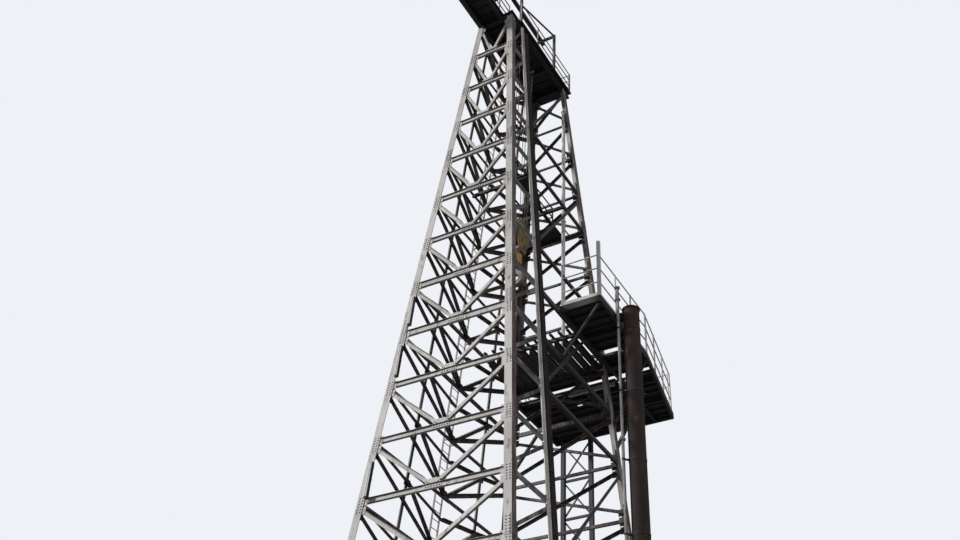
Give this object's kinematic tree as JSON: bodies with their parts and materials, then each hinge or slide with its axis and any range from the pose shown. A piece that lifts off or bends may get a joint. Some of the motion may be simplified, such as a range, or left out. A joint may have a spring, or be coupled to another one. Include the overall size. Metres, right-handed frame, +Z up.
{
  "type": "oil drilling derrick",
  "caption": "Tall tapered drilling tower of braced angle steel with a racking platform, crown platform, travelling block and ladder.",
  "frame": {"origin": "tower axis at ground level, the plan centre of the four legs", "axes": "+Z up; +Y from the front opening towards the rear platform; +X to the right, the side of the pipe column"},
  "size_m": [8.2909, 13.285, 39.058],
  "materials": {
    "tower_paint": "weathered pale grey paint with rust streaks",
    "rusty_steel": "rusted, matt",
    "dark_steel": "dull dark paint",
    "bare_steel": "worn, greasy",
    "wire_rope": "greased wire rope",
    "lamp_tube": "white lamp tube",
    "yellow_paint": "worn yellow paint"
  },
  "bodies": {
    "tower": {"leg_front_left": "tower_paint", "leg_front_right": "tower_paint", "leg_back_right": "tower_paint", "leg_back_left": "tower_paint", "foot_plates": "rusty_steel", "front_door_frame": "tower_paint", "front_bracing_low": "tower_paint", "front_bracing_mid": "tower_paint", "front_bracing_top": "tower_paint", "back_door_frame": "tower_paint", "back_bracing_low": "tower_paint", "back_bracing_mid": "tower_paint", "back_bracing_top": "tower_paint", "left_bracing_low": "tower_paint", "left_bracing_mid": "tower_paint", "left_bracing_top": "tower_paint", "right_bracing_low": "tower_paint", "right_bracing_mid": "tower_paint", "right_bracing_top": "tower_paint", "side_post": "tower_paint", "cable_tray": "rusty_steel", "ladder": "tower_paint", "lamps": "tower_paint", "platform_beams": "dark_steel", "platform_deck": "dark_steel", "finger_beams": "dark_steel", "platform_railing": "tower_paint", "platform_braces": "dark_steel", "tie_beam": "tower_paint", "inner_gangway": "dark_steel", "rear_trestle": "dark_steel", "side_column": "rusty_steel", "water_table": "dark_steel", "crown_deck": "dark_steel", "crown_railing": "tower_paint", "front_crown_platform": "dark_steel", "front_crown_railing": "tower_paint", "crown_block_frame": "dark_steel", "crown_sheaves": "bare_steel", "gin_pole": "dark_steel", "drilling_lines": "wire_rope"},
    "travelling_block": {"block_cheeks": "yellow_paint", "block_sheaves": "bare_steel", "hook_body": "yellow_paint"},
    "hook_swivel": {"hook": "bare_steel"}
  },
  "joints": [
    {"name": "hoist", "type": "slide", "parent": "tower", "child": "travelling_block", "axis": [0, 0, 1], "range_m": [-21, 6.5], "deforming": ["drilling_lines"]},
    {"name": "hook_turn", "type": "hinge", "parent": "travelling_block", "child": "hook_swivel", "pos_m": [0, 0, 24.87], "axis": [0, 0, 1], "continuous": true}
  ]
}
